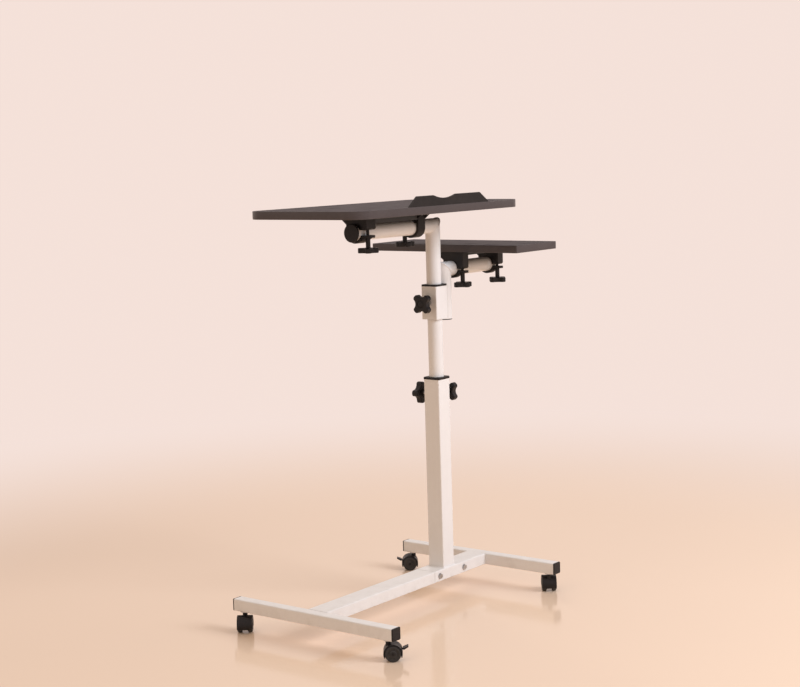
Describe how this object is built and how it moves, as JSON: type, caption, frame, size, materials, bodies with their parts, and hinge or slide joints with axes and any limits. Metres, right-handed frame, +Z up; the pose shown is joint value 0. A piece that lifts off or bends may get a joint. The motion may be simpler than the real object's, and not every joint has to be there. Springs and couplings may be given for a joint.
{
  "type": "rolling laptop stand",
  "caption": "Rolling laptop stand: H base on twin-wheel casters, square post, sliding and turning mast, tilting board with a stop lip, and a side shelf on a sleeve.",
  "frame": {"origin": "on the floor under the centre of the stand's outline", "axes": "+Z up; +X along the centre beam from the open foot to the post's foot; -Y towards the user"},
  "size_m": [0.6918, 0.4422, 0.881],
  "materials": {
    "white_steel": "satin powder coat",
    "plated_steel": "zinc plated",
    "black_steel": "satin powder coat",
    "black_plastic": "fine texture",
    "wheel_nylon": "worn satin",
    "pale_nylon": "satin",
    "board_laminate": "dark satin laminate",
    "board_edge": "satin edge banding"
  },
  "bodies": {
    "base": {"near_foot": "white_steel", "far_foot": "white_steel", "foot_end_caps": "black_plastic", "front_beam": "white_steel", "rear_beam": "white_steel", "beam_spigot": "plated_steel", "beam_bolts": "plated_steel", "caster_stems": "plated_steel", "post": "white_steel", "post_bush": "black_plastic", "post_weld_nuts": "plated_steel"},
    "glide": {"mast_glide": "pale_nylon"},
    "mast": {"mast_tube": "white_steel", "arm_tube": "white_steel", "arm_end_plug": "black_plastic", "mast_foot_plug": "black_plastic"},
    "post_knob_back_turning": {"post_knob_back": "black_plastic", "post_knob_back_screw": "plated_steel"},
    "post_knob_side_turning": {"post_knob_side": "black_plastic", "post_knob_side_screw": "plated_steel"},
    "liner": {"sleeve_liner": "pale_nylon"},
    "sleeve_and_arm": {"sleeve": "white_steel", "sleeve_top_bush": "black_plastic", "sleeve_bottom_bush": "black_plastic", "sleeve_weld_nut": "plated_steel", "side_upright_tube": "white_steel", "side_upright_plug": "black_plastic", "side_arm_tube": "white_steel", "side_arm_end_plug": "black_plastic"},
    "sleeve_knob_turning": {"sleeve_knob": "black_plastic", "sleeve_knob_screw": "plated_steel"},
    "main_table": {"main_board": "board_laminate", "main_board_edge_band": "board_edge", "stop_lip": "black_plastic", "main_rail": "black_steel", "main_saddles": "black_plastic", "main_jaws": "black_plastic", "main_clamp_fasteners": "plated_steel"},
    "side_table": {"side_shelf": "board_laminate", "side_shelf_edge_band": "board_edge", "side_rail": "black_steel", "side_saddles": "black_plastic", "side_jaws": "black_plastic", "side_clamp_fasteners": "plated_steel"},
    "caster_near_left": {"caster_body_near_left": "black_plastic"},
    "wheels_near_left": {"caster_wheels_near_left": "wheel_nylon"},
    "caster_near_right": {"caster_body_near_right": "black_plastic"},
    "wheels_near_right": {"caster_wheels_near_right": "wheel_nylon"},
    "caster_far_left": {"caster_body_far_left": "black_plastic"},
    "wheels_far_left": {"caster_wheels_far_left": "wheel_nylon"},
    "caster_far_right": {"caster_body_far_right": "black_plastic"},
    "wheels_far_right": {"caster_wheels_far_right": "wheel_nylon"},
    "lever_near_right": {"brake_lever_near_right": "black_plastic"},
    "lever_far_left": {"brake_lever_far_left": "black_plastic"},
    "main_clamp_knob_1_turning": {"main_clamp_knob_1": "black_plastic"},
    "main_clamp_knob_2_turning": {"main_clamp_knob_2": "black_plastic"},
    "side_clamp_knob_1_turning": {"side_clamp_knob_1": "black_plastic"},
    "side_clamp_knob_2_turning": {"side_clamp_knob_2": "black_plastic"}
  },
  "joints": [
    {"name": "swivel_near_left", "type": "hinge", "parent": "base", "child": "caster_near_left", "pos_m": [-0.31463, 0.186, 0.036], "axis": [0, 0, 1], "continuous": true},
    {"name": "roll_near_left", "type": "hinge", "parent": "caster_near_left", "child": "wheels_near_left", "pos_m": [-0.32176, 0.18051, 0.016], "axis": [-0.6101, 0.7923, 0], "continuous": true},
    {"name": "swivel_near_right", "type": "hinge", "parent": "base", "child": "caster_near_right", "pos_m": [-0.31463, -0.186, 0.036], "axis": [0, 0, 1], "continuous": true},
    {"name": "roll_near_right", "type": "hinge", "parent": "caster_near_right", "child": "wheels_near_right", "pos_m": [-0.30914, -0.19313, 0.016], "axis": [-0.7923, -0.6101, 0], "continuous": true},
    {"name": "brake_near_right", "type": "hinge", "parent": "caster_near_right", "child": "lever_near_right", "pos_m": [-0.29999, -0.20502, 0.021], "axis": [0.7923, 0.6101, 0], "range_deg": [0, 20]},
    {"name": "swivel_far_left", "type": "hinge", "parent": "base", "child": "caster_far_left", "pos_m": [0.26137, 0.186, 0.036], "axis": [0, 0, 1], "continuous": true},
    {"name": "roll_far_left", "type": "hinge", "parent": "caster_far_left", "child": "wheels_far_left", "pos_m": [0.25588, 0.19313, 0.016], "axis": [0.7923, 0.6101, 0], "continuous": true},
    {"name": "brake_far_left", "type": "hinge", "parent": "caster_far_left", "child": "lever_far_left", "pos_m": [0.24673, 0.20502, 0.021], "axis": [-0.7923, -0.6101, 0], "range_deg": [0, 20]},
    {"name": "swivel_far_right", "type": "hinge", "parent": "base", "child": "caster_far_right", "pos_m": [0.26137, -0.186, 0.036], "axis": [0, 0, 1], "continuous": true},
    {"name": "roll_far_right", "type": "hinge", "parent": "caster_far_right", "child": "wheels_far_right", "pos_m": [0.2685, -0.18051, 0.016], "axis": [0.6101, -0.7923, 0], "continuous": true},
    {"name": "mast_lift", "type": "slide", "parent": "base", "child": "glide", "axis": [0, 0, 1], "range_m": [-0.055, 0.1]},
    {"name": "mast_turn", "type": "hinge", "parent": "glide", "child": "mast", "pos_m": [0.11787, 0, 0.4], "axis": [0, 0, 1], "continuous": true},
    {"name": "post_knob_back_turn", "type": "hinge", "parent": "base", "child": "post_knob_back_turning", "pos_m": [0.11787, 0.04, 0.446], "axis": [0, 1, 0], "continuous": true},
    {"name": "post_knob_side_turn", "type": "hinge", "parent": "base", "child": "post_knob_side_turning", "pos_m": [0.15787, 0, 0.446], "axis": [1, 0, 0], "continuous": true},
    {"name": "sleeve_lift", "type": "slide", "parent": "mast", "child": "liner", "axis": [0, 0, 1], "range_m": [-0.06, 0]},
    {"name": "sleeve_turn", "type": "hinge", "parent": "liner", "child": "sleeve_and_arm", "pos_m": [0.11787, 0, 0.6445], "axis": [0, 0, 1], "range_deg": [-90, 90]},
    {"name": "sleeve_knob_turn", "type": "hinge", "parent": "sleeve_and_arm", "child": "sleeve_knob_turning", "pos_m": [0.07787, 0, 0.6445], "axis": [-1, 0, 0], "continuous": true},
    {"name": "main_tilt", "type": "hinge", "parent": "mast", "child": "main_table", "pos_m": [-0.04213, 0, 0.809], "axis": [1, 0, 0], "range_deg": [-28, 28]},
    {"name": "side_tilt", "type": "hinge", "parent": "sleeve_and_arm", "child": "side_table", "pos_m": [0.25787, 0, 0.713], "axis": [1, 0, 0], "range_deg": [-12, 12]},
    {"name": "main_clamp_knob_1_turn", "type": "hinge", "parent": "main_table", "child": "main_clamp_knob_1_turning", "pos_m": [-0.13413, -0.024, 0.789], "axis": [0, 0, 1], "continuous": true},
    {"name": "main_clamp_knob_2_turn", "type": "hinge", "parent": "main_table", "child": "main_clamp_knob_2_turning", "pos_m": [0.05087, 0.024, 0.789], "axis": [0, 0, 1], "continuous": true},
    {"name": "side_clamp_knob_1_turn", "type": "hinge", "parent": "side_table", "child": "side_clamp_knob_1_turning", "pos_m": [0.19087, -0.024, 0.693], "axis": [0, 0, 1], "continuous": true},
    {"name": "side_clamp_knob_2_turn", "type": "hinge", "parent": "side_table", "child": "side_clamp_knob_2_turning", "pos_m": [0.32487, -0.024, 0.693], "axis": [0, 0, 1], "continuous": true}
  ]
}
